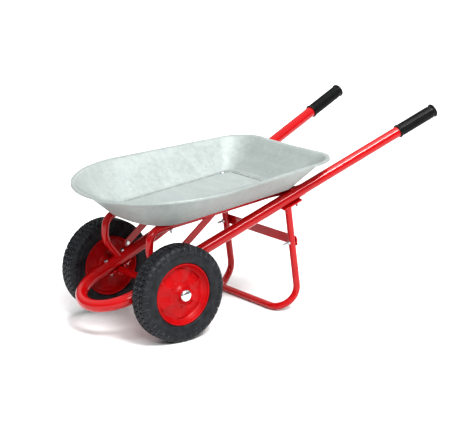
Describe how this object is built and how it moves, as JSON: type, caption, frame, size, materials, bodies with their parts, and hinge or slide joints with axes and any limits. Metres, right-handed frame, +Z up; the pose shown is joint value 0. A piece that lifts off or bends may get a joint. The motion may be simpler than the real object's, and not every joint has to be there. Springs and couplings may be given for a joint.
{
  "type": "wheelbarrow",
  "caption": "Two-wheeled wheelbarrow with a deep sheet-metal tray, bent tube frame with a front hoop, gripped handles, a tube leg frame and solid tyres.",
  "frame": {"origin": "middle of the footprint, on the floor", "axes": "+Z up, +Y back along the barrow towards the grips, +X to the user's left when pushing (the nose looks along -Y)"},
  "size_m": [0.6658, 1.3013, 0.6663],
  "materials": {
    "galvanised": "spangled zinc, satin",
    "red_paint": "gloss",
    "zinc": "zinc plated",
    "steel": "bright drawn",
    "grip_rubber": "ribbed, matt",
    "tyre_rubber": "matt",
    "red_plastic": "moulded, semi-gloss",
    "bush_plastic": "moulded",
    "chrome": "bright"
  },
  "bodies": {
    "frame": {"tray": "galvanised", "main_frame": "red_paint", "leg_frame": "red_paint", "leg_crossbar": "red_paint", "axle_tube": "red_paint", "handle_left": "red_paint", "handle_right": "red_paint", "tray_rail_left": "red_paint", "tray_rail_right": "red_paint", "brace_left": "red_paint", "brace_right": "red_paint", "brace_lug_left": "red_paint", "brace_lug_right": "red_paint", "leg_plate_left": "red_paint", "leg_plate_right": "red_paint", "axle_strap_left": "red_paint", "axle_strap_right": "red_paint", "brace_bolt_left": "zinc", "brace_bolt_right": "zinc", "brace_nut_left": "zinc", "brace_nut_right": "zinc", "handle_bolt_left": "zinc", "handle_bolt_right": "zinc", "handle_nut_left": "zinc", "handle_nut_right": "zinc", "crossbar_bolt_left": "zinc", "crossbar_bolt_right": "zinc", "crossbar_nut_left": "zinc", "crossbar_nut_right": "zinc", "strap_bolt_front_left": "zinc", "strap_bolt_front_right": "zinc", "strap_bolt_rear_left": "zinc", "strap_bolt_rear_right": "zinc", "strap_nut_front_left": "zinc", "strap_nut_front_right": "zinc", "strap_nut_rear_left": "zinc", "strap_nut_rear_right": "zinc", "tray_bolt_front_left": "zinc", "tray_bolt_front_right": "zinc", "tray_nut_front_left": "zinc", "tray_nut_front_right": "zinc", "tray_bolt_rear_left": "zinc", "tray_bolt_rear_right": "zinc", "axle_rod": "steel", "grip_left": "grip_rubber", "grip_right": "grip_rubber", "hub_cap_left": "chrome", "hub_cap_right": "chrome"},
    "wheel_left": {"tyre_left": "tyre_rubber", "wheel_disc_left": "red_plastic", "bush_outer_left": "bush_plastic", "bush_inner_left": "bush_plastic"},
    "wheel_right": {"tyre_right": "tyre_rubber", "wheel_disc_right": "red_plastic", "bush_outer_right": "bush_plastic", "bush_inner_right": "bush_plastic"}
  },
  "joints": [
    {"name": "wheel_left_spin", "type": "hinge", "parent": "frame", "child": "wheel_left", "pos_m": [0.2146, -0.4222, 0.16], "axis": [1, 0, 0], "continuous": true},
    {"name": "wheel_right_spin", "type": "hinge", "parent": "frame", "child": "wheel_right", "pos_m": [-0.2146, -0.4222, 0.16], "axis": [1, 0, 0], "continuous": true}
  ]
}
